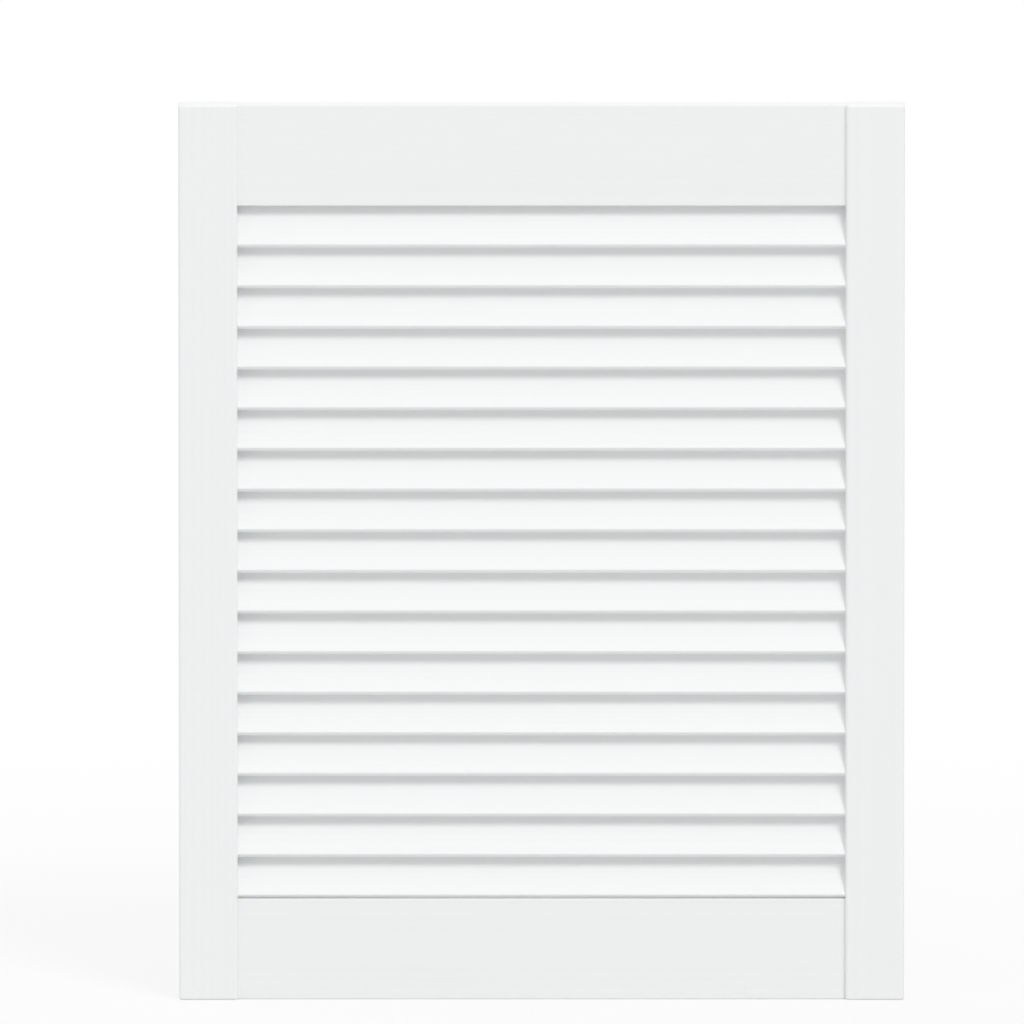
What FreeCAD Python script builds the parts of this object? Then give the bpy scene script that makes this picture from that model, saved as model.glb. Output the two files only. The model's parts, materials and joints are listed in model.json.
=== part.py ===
import FreeCAD, Part
import math
import os

import Sketcher

# A louvred cupboard door leaf in painted pine: two stiles, two rails tenoned into them,
# and a bank of slanted slats whose ends sit in slots cut into the stiles' inner edges.
# Millimetres and degrees. +X runs from the hinge edge to the closing edge, -Y is the front, +Z is up.
# The origin is on the hinge edge, at mid-height and mid-thickness.

# Driving dimensions: alias, value, meaning
DIMENSIONS = [
    ("door_width", 494.0, "outer edge to outer edge of the stiles"),
    ("door_height", 615.0, "length of the stiles"),
    ("stile_width", 40.0, "seen from the front"),
    ("stile_thickness", 21.0, "front face to back face"),
    ("stile_edge_radius", 2.0, "rounding of the long edges"),
    ("stile_end_radius", 1.5, "rounding of the edges of the sawn ends"),
    ("top_rail_height", 69.5, "seen from the front"),
    ("bottom_rail_height", 69.5, "seen from the front"),
    ("rail_thickness", 14.0, "the rails stand back from both faces of the stiles"),
    ("rail_edge_radius", 1.0, "rounding of the long edges"),
    ("tenon_length", 22.0, "how far a rail reaches into a stile"),
    ("tenon_thickness", 6.0, "front to back"),
    ("tenon_shoulder", 12.0, "rail left above and below the tenon"),
    ("tenon_clearance", 0.1, "glue gap on each side of a tenon"),
    ("mortise_end_gap", 1.0, "glue room beyond the end of a tenon"),
    ("slat_count", 17, "slats between the rails"),
    ("slat_breadth", 29.5, "lower nose to upper nose, along the slant"),
    ("slat_thickness", 6.0, "across the slant"),
    ("slat_angle", 64.0, "slant from level, lower nose at the front"),
    ("slat_edge_radius", 1.0, "rounding of the noses"),
    ("slat_rail_gap", 0.3, "between a rail and the slat next to it"),
    ("slot_depth", 8.0, "how deep the slots are cut into the stiles"),
    ("slot_clearance", 0.15, "gap all round a slat in its slot"),
    ("slot_end_gap", 0.5, "gap beyond the end of a slat"),
]

# Sizes that follow from the driving ones
OPENING_WIDTH = "(Sizes.door_width - 2 * Sizes.stile_width)"
OPENING_HEIGHT = "(Sizes.door_height - Sizes.top_rail_height - Sizes.bottom_rail_height)"
OPENING_BOTTOM = "(Sizes.bottom_rail_height - Sizes.door_height / 2)"
RISE = "sin(Sizes.slat_angle)"
RUN = "cos(Sizes.slat_angle)"
ROUNDED_OFF = f"(2 * Sizes.slat_edge_radius * ({RISE} + {RUN} - 1))"
SLAT_HEIGHT = f"(Sizes.slat_breadth * {RISE} + Sizes.slat_thickness * {RUN} - {ROUNDED_OFF})"
SLAT_RUN = f"({OPENING_HEIGHT} - {SLAT_HEIGHT} - 2 * Sizes.slat_rail_gap)"
SLAT_PITCH = f"({SLAT_RUN} / (Sizes.slat_count - 1))"
LOWEST_SLAT = f"({OPENING_BOTTOM} + Sizes.slat_rail_gap + {SLAT_HEIGHT} / 2)"
SLAT_LENGTH = f"({OPENING_WIDTH} + 2 * (Sizes.slot_depth - Sizes.slot_end_gap))"
TOP_RAIL_MIDDLE = "((Sizes.door_height - Sizes.top_rail_height) / 2)"
BOTTOM_RAIL_MIDDLE = "((Sizes.bottom_rail_height - Sizes.door_height) / 2)"

# Sketch point numbers used by the constraints
START, END, CENTRE = 1, 2, 3
ORIGIN = (-1, 1)


def fill_sheet(doc):
    """Write the driving dimensions into the sheet, one row each, with the value under its alias."""
    sheet = doc.addObject("Spreadsheet::Sheet", "Sizes")
    for row, (alias, value, meaning) in enumerate(DIMENSIONS, start=1):
        sheet.set(f"A{row}", alias)
        sheet.set(f"B{row}", str(value))
        sheet.set(f"C{row}", meaning)
        sheet.setAlias(f"B{row}", alias)
    doc.recompute()
    return sheet


def origin_part(body, role):
    """The plane or axis of a body's own origin that has this role."""
    return next(f for f in body.Origin.OriginFeatures if f.Role == role)


def bind(item, expressions):
    """Tie properties of a document object to expressions."""
    for path, expression in expressions.items():
        item.setExpression(path, expression)


def add_body(doc, label, place):
    """A new body, placed by expressions for its x, y and z where they aren't zero."""
    body = doc.addObject("PartDesign::Body", label)
    body.Label = label
    bind(body, {f"Placement.Base.{axis}": expression for axis, expression in place.items()})
    return body


def add_sketch(body, name, role, offset=None):
    """A sketch on one of the body's origin planes. offset ties its place and turn on that plane."""
    sketch = body.newObject("Sketcher::SketchObject", name)
    sketch.AttachmentSupport = [(origin_part(body, role), "")]
    sketch.MapMode = "FlatFace"
    bind(sketch, {f"AttachmentOffset.{path}": e for path, e in (offset or {}).items()})
    return sketch


def name_constraint(sketch, constraint, name, expression):
    """Add a constraint under a name and tie its value to an expression."""
    index = sketch.addConstraint(constraint)
    sketch.renameConstraint(index, name)
    sketch.setExpression(f"Constraints.{name}", expression)


def draw_rectangle(sketch, width, height):
    """A plain rectangle about the sketch's origin, its sizes given as expressions."""
    half_w = float(sketch.evalExpression(width)) / 2
    half_h = float(sketch.evalExpression(height)) / 2
    corners = [(-half_w, -half_h), (half_w, -half_h), (half_w, half_h), (-half_w, half_h)]
    points = [FreeCAD.Vector(x, y, 0) for x, y in corners]
    for start, end in zip(points, points[1:] + points[:1]):
        sketch.addGeometry(Part.LineSegment(start, end))
    bottom, right, top, left = range(4)
    for line, following in ((bottom, right), (right, top), (top, left), (left, bottom)):
        sketch.addConstraint(Sketcher.Constraint("Coincident", line, END, following, START))
    for line in (bottom, top):
        sketch.addConstraint(Sketcher.Constraint("Horizontal", line))
    for line in (left, right):
        sketch.addConstraint(Sketcher.Constraint("Vertical", line))
    sketch.addConstraint(Sketcher.Constraint("Symmetric", bottom, START, top, START, *ORIGIN))
    width_now = Sketcher.Constraint("DistanceX", bottom, START, bottom, END, 2 * half_w)
    height_now = Sketcher.Constraint("DistanceY", right, START, right, END, 2 * half_h)
    name_constraint(sketch, width_now, "width", width)
    name_constraint(sketch, height_now, "height", height)


def draw_rounded_rectangle(sketch, width, height, radius):
    """A rectangle with round corners about the sketch's origin, its sizes given as expressions."""
    half_w = float(sketch.evalExpression(width)) / 2
    half_h = float(sketch.evalExpression(height)) / 2
    r = float(sketch.evalExpression(radius))
    side_w, side_h = half_w - r, half_h - r
    sides = [
        ((-side_w, -half_h), (side_w, -half_h)),
        ((half_w, -side_h), (half_w, side_h)),
        ((side_w, half_h), (-side_w, half_h)),
        ((-half_w, side_h), (-half_w, -side_h)),
    ]
    for start, end in sides:
        sketch.addGeometry(Part.LineSegment(FreeCAD.Vector(*start, 0), FreeCAD.Vector(*end, 0)))
    centres = [(side_w, -side_h), (side_w, side_h), (-side_w, side_h), (-side_w, -side_h)]
    quarter = math.pi / 2
    for turn, (x, y) in enumerate(centres, start=-1):
        circle = Part.Circle(FreeCAD.Vector(x, y, 0), FreeCAD.Vector(0, 0, 1), r)
        sketch.addGeometry(Part.ArcOfCircle(circle, turn * quarter, (turn + 1) * quarter))
    bottom, right, top, left = range(4)
    corners = range(4, 8)
    for corner, line, following in zip(corners, (bottom, right, top, left), (right, top, left, bottom)):
        sketch.addConstraint(Sketcher.Constraint("Tangent", line, END, corner, START))
        sketch.addConstraint(Sketcher.Constraint("Tangent", corner, END, following, START))
    for line in (bottom, top):
        sketch.addConstraint(Sketcher.Constraint("Horizontal", line))
    for line in (left, right):
        sketch.addConstraint(Sketcher.Constraint("Vertical", line))
    for corner in corners[1:]:
        sketch.addConstraint(Sketcher.Constraint("Equal", corners[0], corner))
    lower_right, upper_left = corners[0], corners[2]
    sketch.addConstraint(Sketcher.Constraint("Symmetric", lower_right, CENTRE, upper_left, CENTRE, *ORIGIN))
    width_now = Sketcher.Constraint("DistanceX", left, START, right, START, 2 * half_w)
    height_now = Sketcher.Constraint("DistanceY", bottom, START, top, START, 2 * half_h)
    name_constraint(sketch, width_now, "width", width)
    name_constraint(sketch, height_now, "height", height)
    name_constraint(sketch, Sketcher.Constraint("Radius", corners[0], r), "radius", radius)


def draw_slat_section(sketch, gap):
    """The slanted section of a slat, grown all round by a gap where it is the slot for one."""
    breadth = f"Sizes.slat_breadth + 2 * {gap}"
    thickness = f"Sizes.slat_thickness + 2 * {gap}"
    draw_rounded_rectangle(sketch, breadth, thickness, f"Sizes.slat_edge_radius + {gap}")


def add_pad(body, sketch, name, length):
    """Thicken a sketch evenly to both sides of its plane."""
    pad = body.newObject("PartDesign::Pad", name)
    pad.Profile = sketch
    pad.SideType = "Symmetric"
    bind(pad, {"Length": length})
    body.Document.recompute()
    return pad


def add_pocket(body, sketch, name, depth, along_normal):
    """Cut a sketch into the body, along its normal or against it. The cut has to take material away."""
    before = body.Tip.Shape.Volume
    pocket = body.newObject("PartDesign::Pocket", name)
    pocket.Profile = sketch
    pocket.Reversed = along_normal
    bind(pocket, {"Length": depth})
    body.Document.recompute()
    if pocket.Shape.Volume >= before:
        raise RuntimeError(f"{body.Label}: {name} cuts nothing")
    return pocket


def round_ends(body, pad):
    """Ease the edges of a stile's two sawn ends."""
    ends = []
    for index, face in enumerate(pad.Shape.Faces, start=1):
        normal = face.normalAt(0, 0)
        if abs(normal.z) > 0.99:
            ends.append(f"Face{index}")
    fillet = body.newObject("PartDesign::Fillet", "EasedEnds")
    fillet.Base = (pad, ends)
    bind(fillet, {"Radius": "Sizes.stile_end_radius"})
    body.Document.recompute()


def cut_mortise(body, name, inner_edge, along_normal, rail_middle, rail_height):
    """A blind mortise in a stile's inner edge, for the tenon of one rail."""
    sketch = add_sketch(body, f"{name}Section", "YZ_Plane", {"Base.y": rail_middle, "Base.z": inner_edge})
    thickness = "Sizes.tenon_thickness + 2 * Sizes.tenon_clearance"
    height = f"{rail_height} - 2 * Sizes.tenon_shoulder + 2 * Sizes.tenon_clearance"
    draw_rectangle(sketch, thickness, height)
    add_pocket(body, sketch, name, "Sizes.tenon_length + Sizes.mortise_end_gap", along_normal)


def cut_slots(body, inner_edge, along_normal):
    """The row of stopped slots for the slats: one slot, repeated up the stile."""
    offset = {"Base.y": LOWEST_SLAT, "Base.z": inner_edge, "Rotation.Angle": "Sizes.slat_angle"}
    sketch = add_sketch(body, "SlotSection", "YZ_Plane", offset)
    draw_slat_section(sketch, "Sizes.slot_clearance")
    slot = add_pocket(body, sketch, "Slot", "Sizes.slot_depth", along_normal)
    row = body.newObject("PartDesign::LinearPattern", "SlotRow")
    row.Originals = [slot]
    row.Direction = (origin_part(body, "Z_Axis"), [""])
    bind(row, {"Length": SLAT_RUN, "Occurrences": "Sizes.slat_count"})
    body.Tip = row
    body.Document.recompute()


def make_stile(doc, label, middle, inner_side):
    """An upright. inner_side is +1 where its inner edge faces +X, and -1 where it faces -X."""
    body = add_body(doc, label, {"x": middle})
    section = add_sketch(body, "Section", "XY_Plane")
    draw_rounded_rectangle(section, "Sizes.stile_width", "Sizes.stile_thickness", "Sizes.stile_edge_radius")
    round_ends(body, add_pad(body, section, "Length", "Sizes.door_height"))
    inner_edge = f"{inner_side} * Sizes.stile_width / 2"
    along_normal = inner_side < 0
    cut_mortise(body, "TopMortise", inner_edge, along_normal, TOP_RAIL_MIDDLE, "Sizes.top_rail_height")
    cut_mortise(body, "BottomMortise", inner_edge, along_normal, BOTTOM_RAIL_MIDDLE, "Sizes.bottom_rail_height")
    cut_slots(body, inner_edge, along_normal)
    return body


def make_rail(doc, label, middle, height):
    """A cross-piece between the stiles, with a tenon on each end."""
    body = add_body(doc, label, {"x": "Sizes.door_width / 2", "z": middle})
    section = add_sketch(body, "Section", "YZ_Plane")
    draw_rounded_rectangle(section, "Sizes.rail_thickness", height, "Sizes.rail_edge_radius")
    add_pad(body, section, "Length", OPENING_WIDTH)
    tenon = add_sketch(body, "TenonSection", "YZ_Plane")
    draw_rectangle(tenon, "Sizes.tenon_thickness", f"{height} - 2 * Sizes.tenon_shoulder")
    add_pad(body, tenon, "Tenons", f"{OPENING_WIDTH} + 2 * Sizes.tenon_length")
    return body


def make_slat(doc, number):
    """One slat, counted from the bottom. Both ends reach into the slots."""
    height = f"{LOWEST_SLAT} + {number - 1} * {SLAT_PITCH}"
    body = add_body(doc, f"slat_{number:02d}", {"x": "Sizes.door_width / 2", "z": height})
    section = add_sketch(body, "Section", "YZ_Plane", {"Rotation.Angle": "Sizes.slat_angle"})
    draw_slat_section(section, "0")
    add_pad(body, section, "Length", SLAT_LENGTH)
    return body


def make_door(doc):
    """Every piece of the door leaf."""
    sheet = fill_sheet(doc)
    pieces = [
        make_stile(doc, "left_stile", "Sizes.stile_width / 2", 1),
        make_stile(doc, "right_stile", "Sizes.door_width - Sizes.stile_width / 2", -1),
        make_rail(doc, "top_rail", TOP_RAIL_MIDDLE, "Sizes.top_rail_height"),
        make_rail(doc, "bottom_rail", BOTTOM_RAIL_MIDDLE, "Sizes.bottom_rail_height"),
    ]
    pieces += [make_slat(doc, number) for number in range(1, int(sheet.slat_count) + 1)]
    doc.recompute()
    return pieces


def check(doc, pieces):
    """Stop if any object failed, or a piece isn't one valid solid."""
    for item in doc.Objects:
        if "Invalid" in item.State or "Error" in item.State:
            raise RuntimeError(f"{item.Label} failed: {item.State}")
    for piece in pieces:
        shape = piece.Shape
        if shape.isNull() or not shape.isValid() or len(shape.Solids) != 1:
            raise RuntimeError(f"{piece.Label} isn't one valid solid")


def export(pieces):
    """Write each piece to a file of its own."""
    os.makedirs("parts", exist_ok=True)
    for piece in pieces:
        piece.Shape.exportStep(f"parts/{piece.Label}.step")


document = FreeCAD.newDocument("LouvredDoor")
door_pieces = make_door(document)
check(document, door_pieces)
export(door_pieces)
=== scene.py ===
import json
import math

import bmesh
import bpy
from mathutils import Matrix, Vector
from mathutils.geometry import convex_hull_2d


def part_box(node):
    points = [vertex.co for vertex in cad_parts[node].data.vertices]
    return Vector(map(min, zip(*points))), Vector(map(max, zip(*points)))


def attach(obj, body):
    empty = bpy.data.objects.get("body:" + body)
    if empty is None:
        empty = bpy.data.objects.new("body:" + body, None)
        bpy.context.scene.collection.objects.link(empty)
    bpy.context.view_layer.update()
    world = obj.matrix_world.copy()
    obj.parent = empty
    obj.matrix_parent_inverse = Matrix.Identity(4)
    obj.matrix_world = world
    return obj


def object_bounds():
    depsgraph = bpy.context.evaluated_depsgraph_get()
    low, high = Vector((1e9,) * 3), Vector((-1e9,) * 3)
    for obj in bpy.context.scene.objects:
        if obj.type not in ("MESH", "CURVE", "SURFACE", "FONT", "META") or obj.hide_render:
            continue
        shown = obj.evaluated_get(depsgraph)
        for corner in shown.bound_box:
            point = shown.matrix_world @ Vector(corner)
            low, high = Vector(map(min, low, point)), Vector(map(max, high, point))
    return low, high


# The look of a white lacquered pine cupboard door leaf with fixed louvre slats.
# Metres. +X runs from the hinge edge to the closing edge, -Y is the front, +Z is up.

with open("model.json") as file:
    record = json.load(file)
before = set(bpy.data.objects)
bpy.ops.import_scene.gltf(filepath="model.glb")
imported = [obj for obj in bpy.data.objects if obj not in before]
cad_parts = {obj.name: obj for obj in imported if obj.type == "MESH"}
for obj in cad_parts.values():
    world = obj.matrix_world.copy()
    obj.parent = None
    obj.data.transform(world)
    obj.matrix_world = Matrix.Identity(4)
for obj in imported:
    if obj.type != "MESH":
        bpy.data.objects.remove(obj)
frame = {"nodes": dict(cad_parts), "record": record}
cad_low, cad_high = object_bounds()

# The stiles' inner edges, where rails and slats go in
LEFT_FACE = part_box("left_stile")[1][0]
RIGHT_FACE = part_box("right_stile")[0][0]

# Camera: far off, so that upright edges stay parallel, and looking a little down
FRAME_PIXELS = 1024
PIXELS_PER_METRE = 1469.0
CAMERA_DISTANCE = 30.0
CAMERA_ELEVATION = math.radians(8.0)
SENSOR_WIDTH = 36.0
DOOR_MIDDLE_PIXEL = (541.5, 551.2)

# Light: a soft key from above on the right, a weak fill from behind on the left,
# and a white sky that brightens upwards and to the left
KEY_ELEVATION = math.radians(41.0)
KEY_AZIMUTH = math.radians(30.0)
KEY_SPREAD = math.radians(20.0)
KEY_STRENGTH = 1.06
FILL_ELEVATION = math.radians(8.0)
FILL_AZIMUTH = math.radians(225.0)
FILL_SPREAD = math.radians(14.0)
FILL_STRENGTH = 0.38
SKY_AT_HORIZON = 0.46
SKY_OVERHEAD = 1.02
SKY_LEFTWARD = 0.30

# Floor: the camera sees it lifted towards white, wholly so where the fade ends
FLOOR_HALF_SIZE = 60.0
FLOOR_COLOUR = (0.8, 0.8, 0.8, 1.0)
FLOOR_LIFT = 0.8
FADE_START = 0.3
FADE_END = 1.5

# Which way the wood's grain runs under each lacquer
GRAIN_AXIS = {"stile_lacquer": "Z", "rail_lacquer": "X", "slat_lacquer": "X"}

# Lacquer film over pine. Reliefs are in micrometres.
LACQUER_COLOUR = (0.862, 0.874, 0.877, 1.0)
THIN_LACQUER_COLOUR = (0.838, 0.848, 0.842, 1.0)
THIN_SHARE = 0.6
SATIN = 0.40
SATIN_SPREAD = 0.08
MICROMETRE = 1e-6
RING_SPACING = 0.0034
RING_RELIEF = 14.0
FIBRE_WIDTH = 0.0007
FIBRE_RELIEF = 7.0
PEEL_WIDTH = 0.0016
PEEL_RELIEF = 2.0
GRAIN_STRETCH = 0.03

# How the rings wander, and how fine the fibres and the spray texture are
RING_DISTORTION = 5.0
RING_DETAIL = 3.0
RING_DETAIL_SCALE = 0.6
RING_DETAIL_ROUGHNESS = 0.55
FIBRE_DETAIL = 3.0
FIBRE_ROUGHNESS = 0.6
PEEL_DETAIL = 1.0

# The log's heart lies outside each piece, and elsewhere for every piece
PITH_NEAREST = 0.03
PITH_STEP = 0.01
PITH_STEPS = 4
PITH_TURN = 2.4
PITH_ALONG = 0.37

# Blender's wave texture draws this many radians of ring for each unit of length
WAVE_RADIANS = 20.0

# The sockets of Blender's mix node when it mixes colours
MIX_FACTOR = 0
MIX_FIRST = 6
MIX_SECOND = 7
MIX_RESULT = 2

WHITE = (1.0, 1.0, 1.0, 1.0)

# Lacquer that has run into the joints at the stiles' inner edges: a hollow fillet round each end
STILE_EDGE_RADIUS = 0.002
STILE_END_RADIUS = 0.0015
BEAD_RADIUS = 0.0012
BEAD_SINK = 0.0001
BEAD_STEPS = 4

# How far the beads stay inside the door's ends, and the decimals that tell two points apart
BELOW_FACE = 0.00002
WELD_DIGITS = 6

# Lacquer in the wedge between an end slat and the rail beside it
WEDGE_HEIGHT = 0.0012
WEDGE_HOLLOW = 0.0004
WEDGE_STEPS = 6


def add_node(tree, kind, inputs=None, **settings):
    """A new shader node. inputs maps a socket to its value, or to the output that feeds it."""
    node = tree.nodes.new(kind)
    for name, value in settings.items():
        setattr(node, name, value)
    for name, value in (inputs or {}).items():
        if isinstance(value, bpy.types.NodeSocket):
            tree.links.new(value, node.inputs[name])
        else:
            node.inputs[name].default_value = value
    return node


def add_math(tree, operation, first, second):
    """The result of one sum on two values or outputs."""
    return add_node(tree, "ShaderNodeMath", {0: first, 1: second}, operation=operation).outputs[0]


def add_vector_math(tree, operation, first, second):
    """The result of one sum on two vectors or outputs."""
    return add_node(tree, "ShaderNodeVectorMath", {0: first, 1: second}, operation=operation).outputs[0]


def add_camera():
    """A long lens at the photograph's viewing angle, with the door where the photograph has it."""
    frame_width = FRAME_PIXELS / PIXELS_PER_METRE
    data = bpy.data.cameras.new("camera")
    data.sensor_width = SENSOR_WIDTH
    data.lens = SENSOR_WIDTH * CAMERA_DISTANCE / frame_width
    data.clip_end = CAMERA_DISTANCE + FLOOR_HALF_SIZE
    camera = bpy.data.objects.new("camera", data)
    bpy.context.scene.collection.objects.link(camera)
    back = Vector((0.0, -math.cos(CAMERA_ELEVATION), math.sin(CAMERA_ELEVATION)))
    right = Vector((1.0, 0.0, 0.0))
    up = back.cross(right)
    pixels_right = DOOR_MIDDLE_PIXEL[0] - FRAME_PIXELS / 2
    pixels_down = DOOR_MIDDLE_PIXEL[1] - FRAME_PIXELS / 2
    aim = (cad_low + cad_high) / 2 + (up * pixels_down - right * pixels_right) / PIXELS_PER_METRE
    camera.location = aim + back * CAMERA_DISTANCE
    camera.rotation_euler = (-back).to_track_quat("-Z", "Y").to_euler()
    bpy.context.scene.camera = camera


def add_lamp(name, strength, elevation, azimuth, spread):
    """A far-off soft lamp. Its azimuth is 0 in front of the door and grows to the right."""
    data = bpy.data.lights.new(name, "SUN")
    data.energy = strength
    data.angle = spread
    lamp = bpy.data.objects.new(name, data)
    bpy.context.scene.collection.objects.link(lamp)
    level = math.cos(elevation)
    towards = Vector((level * math.sin(azimuth), -level * math.cos(azimuth), math.sin(elevation)))
    lamp.rotation_euler = towards.to_track_quat("Z", "Y").to_euler()
    return lamp


def add_lamps():
    """The key, and a fill that brightens the back without a glare on the satin."""
    add_lamp("key", KEY_STRENGTH, KEY_ELEVATION, KEY_AZIMUTH, KEY_SPREAD)
    fill = add_lamp("fill", FILL_STRENGTH, FILL_ELEVATION, FILL_AZIMUTH, FILL_SPREAD)
    fill.visible_glossy = False


def add_seen(tree):
    """An output that is 1 for what the camera sees, mirrored or through glass too, and 0 for lighting."""
    path = add_node(tree, "ShaderNodeLightPath").outputs
    looks = add_math(tree, "MAXIMUM", path["Is Camera Ray"], path["Is Glossy Ray"])
    return add_math(tree, "MAXIMUM", looks, path["Is Transmission Ray"])


def add_sky():
    """A sky brightest overhead and dimmest low on the right. The camera and reflections see plain white."""
    world = bpy.data.worlds.new("sky")
    world.use_nodes = True
    tree = world.node_tree
    tree.nodes.clear()
    direction = add_node(tree, "ShaderNodeTexCoord").outputs["Generated"]
    parts = add_node(tree, "ShaderNodeSeparateXYZ", {"Vector": direction}).outputs
    by_height = add_node(tree, "ShaderNodeMapRange", {
        "Value": parts["Z"], "To Min": SKY_AT_HORIZON, "To Max": SKY_OVERHEAD,
    }).outputs["Result"]
    by_side = add_math(tree, "SUBTRACT", 1.0, add_math(tree, "MULTIPLY", parts["X"], SKY_LEFTWARD))
    lighting = add_math(tree, "MULTIPLY", by_height, by_side)
    strength = add_node(tree, "ShaderNodeMapRange", {
        "Value": add_seen(tree), "To Min": lighting, "To Max": 1.0,
    })
    light = add_node(tree, "ShaderNodeBackground", {
        "Color": WHITE, "Strength": strength.outputs["Result"],
    })
    add_node(tree, "ShaderNodeOutputWorld", {"Surface": light.outputs["Background"]})
    bpy.context.scene.world = world


def make_floor_white():
    """Matt white that keeps the door's shadow and, away from the door, looks as white as the sky."""
    material = bpy.data.materials.new("floor")
    material.use_nodes = True
    tree = material.node_tree
    tree.nodes.clear()
    paint = add_node(tree, "ShaderNodeBsdfDiffuse", {"Color": FLOOR_COLOUR})
    white = add_node(tree, "ShaderNodeEmission", {"Color": WHITE, "Strength": 1.0})
    place = add_node(tree, "ShaderNodeTexCoord").outputs["Object"]
    away = add_node(tree, "ShaderNodeVectorMath", {0: place}, operation="LENGTH").outputs["Value"]
    lift = add_node(tree, "ShaderNodeMapRange", {
        "Value": away, "From Min": FADE_START, "From Max": FADE_END, "To Min": FLOOR_LIFT, "To Max": 1.0,
    }, interpolation_type="SMOOTHSTEP").outputs["Result"]
    share = add_math(tree, "MULTIPLY", lift, add_seen(tree))
    mixed = add_node(tree, "ShaderNodeMixShader", {
        0: share, 1: paint.outputs["BSDF"], 2: white.outputs["Emission"],
    })
    add_node(tree, "ShaderNodeOutputMaterial", {"Surface": mixed.outputs["Shader"]})
    return material


def add_floor():
    """A plain pale floor under the door."""
    half = FLOOR_HALF_SIZE
    corners = [(-half, -half, 0.0), (half, -half, 0.0), (half, half, 0.0), (-half, half, 0.0)]
    mesh = bpy.data.meshes.new("floor")
    mesh.from_pydata(corners, [], [(0, 1, 2, 3)])
    floor = bpy.data.objects.new("floor", mesh)
    middle = (cad_low + cad_high) / 2
    floor.location = (middle.x, middle.y, cad_low.z)
    bpy.context.scene.collection.objects.link(floor)
    mesh.materials.append(make_floor_white())


def add_grain(tree, axis):
    """Growth rings, fibres and spray texture, each from 0 to 1, for grain that runs along an axis."""
    place = add_node(tree, "ShaderNodeTexCoord").outputs["Object"]
    pith = add_node(tree, "ShaderNodeAttribute", attribute_type="OBJECT", attribute_name="pith")
    from_pith = add_vector_math(tree, "SUBTRACT", place, pith.outputs["Vector"])
    stretch = [GRAIN_STRETCH if letter == axis else 1.0 for letter in "XYZ"]
    along_grain = add_vector_math(tree, "MULTIPLY", from_pith, stretch)
    rings = add_node(tree, "ShaderNodeTexWave", {
        "Vector": along_grain,
        "Scale": 2 * math.pi / WAVE_RADIANS / RING_SPACING,
        "Distortion": RING_DISTORTION,
        "Detail": RING_DETAIL,
        "Detail Scale": RING_DETAIL_SCALE,
        "Detail Roughness": RING_DETAIL_ROUGHNESS,
    }, wave_type="RINGS", rings_direction=axis, wave_profile="SIN")
    fibres = add_node(tree, "ShaderNodeTexNoise", {
        "Vector": along_grain,
        "Scale": 1 / FIBRE_WIDTH,
        "Detail": FIBRE_DETAIL,
        "Roughness": FIBRE_ROUGHNESS,
    })
    peel = add_node(tree, "ShaderNodeTexNoise", {
        "Vector": place, "Scale": 1 / PEEL_WIDTH, "Detail": PEEL_DETAIL,
    })
    return rings.outputs["Fac"], fibres.outputs["Fac"], peel.outputs["Fac"]


def make_lacquer(name, axis):
    """White satin lacquer that lets the pine's grain show faintly through the film."""
    material = bpy.data.materials.new(name)
    material.use_nodes = True
    tree = material.node_tree
    shader = tree.nodes["Principled BSDF"]
    rings, fibres, peel = add_grain(tree, axis)
    thin = add_math(tree, "MULTIPLY", rings, fibres)
    colour = add_node(tree, "ShaderNodeMix", {
        MIX_FACTOR: add_math(tree, "MULTIPLY", thin, THIN_SHARE),
        MIX_FIRST: LACQUER_COLOUR,
        MIX_SECOND: THIN_LACQUER_COLOUR,
    }, data_type="RGBA")
    tree.links.new(colour.outputs[MIX_RESULT], shader.inputs["Base Color"])
    satin = add_node(tree, "ShaderNodeMapRange", {
        "Value": fibres, "To Min": SATIN - SATIN_SPREAD, "To Max": SATIN + SATIN_SPREAD,
    })
    tree.links.new(satin.outputs["Result"], shader.inputs["Roughness"])
    ring_relief = add_math(tree, "MULTIPLY", rings, RING_RELIEF)
    fibre_relief = add_math(tree, "MULTIPLY", fibres, FIBRE_RELIEF)
    peel_relief = add_math(tree, "MULTIPLY", peel, PEEL_RELIEF)
    relief = add_math(tree, "ADD", add_math(tree, "ADD", ring_relief, fibre_relief), peel_relief)
    bump = add_node(tree, "ShaderNodeBump", {"Height": relief, "Distance": MICROMETRE, "Strength": 1.0})
    tree.links.new(bump.outputs["Normal"], shader.inputs["Normal"])
    return material


def set_pith(piece, number, axis, middle):
    """Place the log's heart beside a piece, so that each piece shows a cut of its own."""
    turn = number * PITH_TURN
    reach = PITH_NEAREST + PITH_STEP * (number % PITH_STEPS)
    across = (reach * math.cos(turn), reach * math.sin(turn))
    along = PITH_ALONG * number
    offset = (*across, along) if axis == "Z" else (along, *across)
    piece["pith"] = list(middle + Vector(offset))


def dress_nodes(lacquers):
    """Give every piece of the frame its lacquer."""
    slots = {part["node"]: part["material_slot"] for part in frame["record"]["subparts"]}
    for number, (name, node) in enumerate(sorted(frame["nodes"].items())):
        low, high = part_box(name)
        set_pith(node, number, GRAIN_AXIS[slots[name]], (Vector(low) + Vector(high)) / 2)
        node.data.materials.clear()
        node.data.materials.append(lacquers[slots[name]])


def outline_of(node):
    """A cross-piece's outline seen along X: its points in order, each with the way out of the wood."""
    flat = sorted({(round(v.co.y, WELD_DIGITS), round(v.co.z, WELD_DIGITS)) for v in node.data.vertices})
    points = [Vector((0.0, *flat[index])) for index in convex_hull_2d(flat)]
    outline = []
    for index, point in enumerate(points):
        along = points[(index + 1) % len(points)] - points[index - 1]
        outline.append((point, along.cross(Vector((1.0, 0.0, 0.0))).normalized()))
    return outline


def rounding_depth(past_start, radius):
    """How far a rounded edge has fallen back from the flat, a distance past the start of the rounding."""
    past_start = min(max(past_start, 0.0), radius)
    return radius - math.sqrt(radius ** 2 - past_start ** 2)


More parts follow.
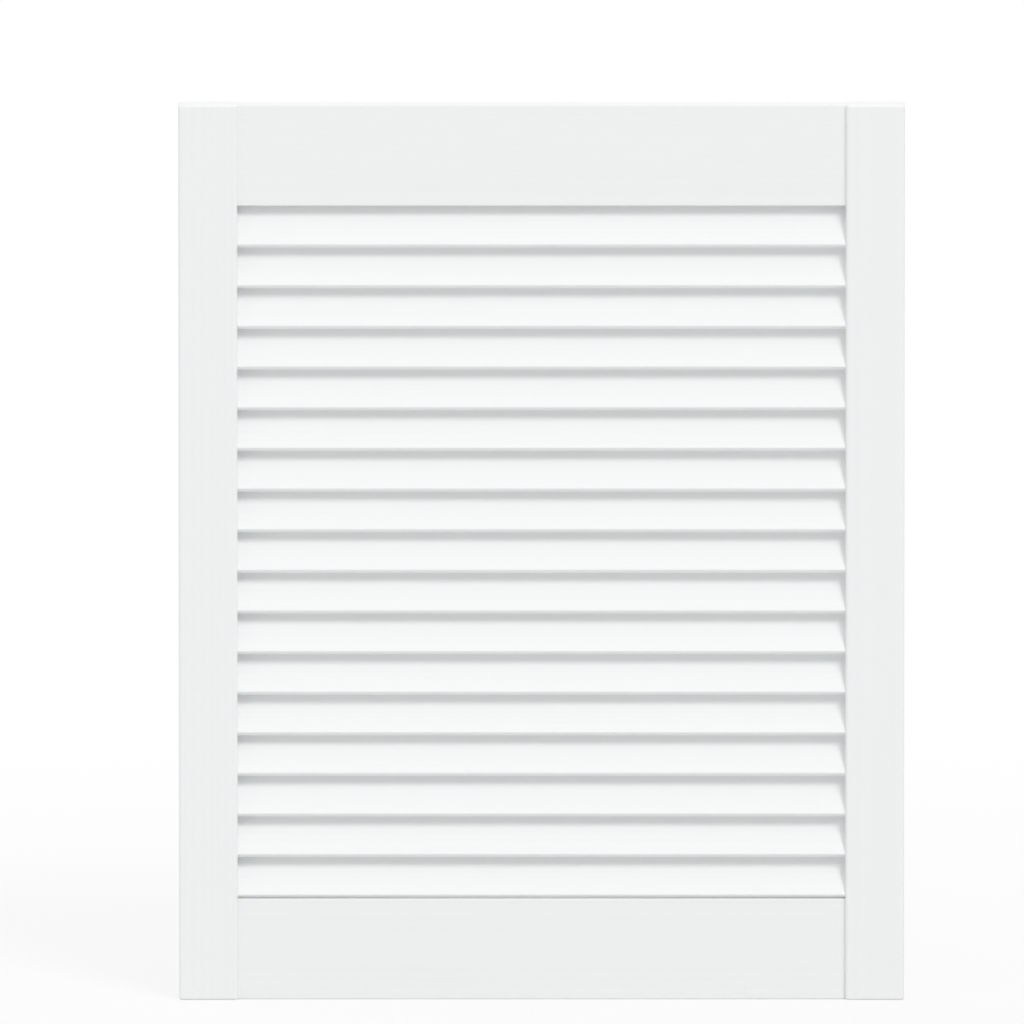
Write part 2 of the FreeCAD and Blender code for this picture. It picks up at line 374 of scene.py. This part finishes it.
def place_on_stile(place, depth, face, inward):
    """The point at a depth in front of a stile's inner edge, following the roundings close to the stile."""
    top = cad_high.z - BELOW_FACE
    height = min(max(place.z, -top), top)
    edge = rounding_depth(abs(place.y) - cad_high.y + STILE_EDGE_RADIUS, STILE_EDGE_RADIUS)
    end = rounding_depth(abs(height) - cad_high.z + STILE_END_RADIUS, STILE_END_RADIUS)
    nearness = 1 - max(depth, 0.0) / (BEAD_RADIUS - BEAD_SINK)
    return Vector((face + inward * (depth - nearness * max(edge, end)), place.y, height))


def add_bead(mesh, outline, face, inward):
    """One closed hollow fillet round the end of a cross-piece."""
    rows = []
    for point, out in outline:
        corner = point - out * BEAD_SINK
        row = [mesh.verts.new(place_on_stile(corner, -BEAD_SINK, face, inward))]
        for step in range(BEAD_STEPS + 1):
            turn = math.pi / 2 * step / BEAD_STEPS
            place = corner + out * BEAD_RADIUS * (1 - math.cos(turn))
            depth = BEAD_RADIUS * (1 - math.sin(turn)) - BEAD_SINK
            row.append(mesh.verts.new(place_on_stile(place, depth, face, inward)))
        rows.append(row)
    for row, following in zip(rows, rows[1:] + rows[:1]):
        for index, vertex in enumerate(row):
            mesh.faces.new((row[index - 1], vertex, following[index], following[index - 1]))


def add_end_beads(mesh, nodes):
    """The beads at both ends of some cross-pieces."""
    for node in nodes:
        outline = outline_of(frame["nodes"][node])
        add_bead(mesh, outline, LEFT_FACE, 1.0)
        add_bead(mesh, outline, RIGHT_FACE, -1.0)


def wedge_section(slat, rail_height, way):
    """The outline of the lacquer between an end slat and a rail. At the top, way is -1, for upside down."""
    points = [(way * point.y, way * point.z) for point, out in outline_of(frame["nodes"][slat])]
    rail = way * rail_height
    back, lowest = min(points, key=lambda point: point[1])
    nose = min(points)
    slope = (nose[1] - lowest) / (back - nose[0])
    front = back - (rail + WEDGE_HEIGHT - lowest) / slope
    section = [(back, rail - BEAD_SINK), (back, lowest + BEAD_SINK)]
    for step in range(WEDGE_STEPS + 1):
        share = step / WEDGE_STEPS
        hollow = WEDGE_HOLLOW * math.sin(math.pi * share)
        section.append((front + hollow, rail - BEAD_SINK + (1 - share) * (WEDGE_HEIGHT + 2 * BEAD_SINK)))
    return [(way * y, way * z) for y, z in section]


def add_wedge(mesh, section):
    """A closed bar of lacquer from stile to stile."""
    ends = []
    for x in (LEFT_FACE - BEAD_SINK, RIGHT_FACE + BEAD_SINK):
        ends.append([mesh.verts.new((x, y, z)) for y, z in section])
    for end in ends:
        mesh.faces.new(end)
    for index in range(len(section)):
        mesh.faces.new((ends[0][index - 1], ends[0][index], ends[1][index], ends[1][index - 1]))


def add_lacquer_piece(name, mesh, slot, lacquer):
    """Turn a finished mesh of beads into a piece of the door."""
    bmesh.ops.recalc_face_normals(mesh, faces=mesh.faces)
    for face in mesh.faces:
        face.smooth = True
    data = bpy.data.meshes.new(name)
    mesh.to_mesh(data)
    mesh.free()
    data.materials.append(lacquer)
    beads = bpy.data.objects.new(name, data)
    bpy.context.scene.collection.objects.link(beads)
    set_pith(beads, 0, GRAIN_AXIS[slot], (cad_low + cad_high) / 2)
    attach(beads, "root")


def add_beads(lacquers):
    """Lacquer where slats and rails enter the stiles, and where the end slats meet the rails."""
    slats = sorted(name for name in frame["nodes"] if name.startswith("slat"))
    slat_beads = bmesh.new()
    add_end_beads(slat_beads, slats)
    add_wedge(slat_beads, wedge_section(slats[0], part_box("bottom_rail")[1][2], 1.0))
    add_wedge(slat_beads, wedge_section(slats[-1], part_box("top_rail")[0][2], -1.0))
    add_lacquer_piece("slat_beads", slat_beads, "slat_lacquer", lacquers["slat_lacquer"])
    rail_beads = bmesh.new()
    add_end_beads(rail_beads, ("bottom_rail", "top_rail"))
    add_lacquer_piece("rail_beads", rail_beads, "rail_lacquer", lacquers["rail_lacquer"])


add_camera()
add_lamps()
add_sky()
add_floor()
lacquer_of_slot = {slot: make_lacquer(slot, axis) for slot, axis in GRAIN_AXIS.items()}
dress_nodes(lacquer_of_slot)
add_beads(lacquer_of_slot)
bpy.context.scene.view_settings.view_transform = "Standard"
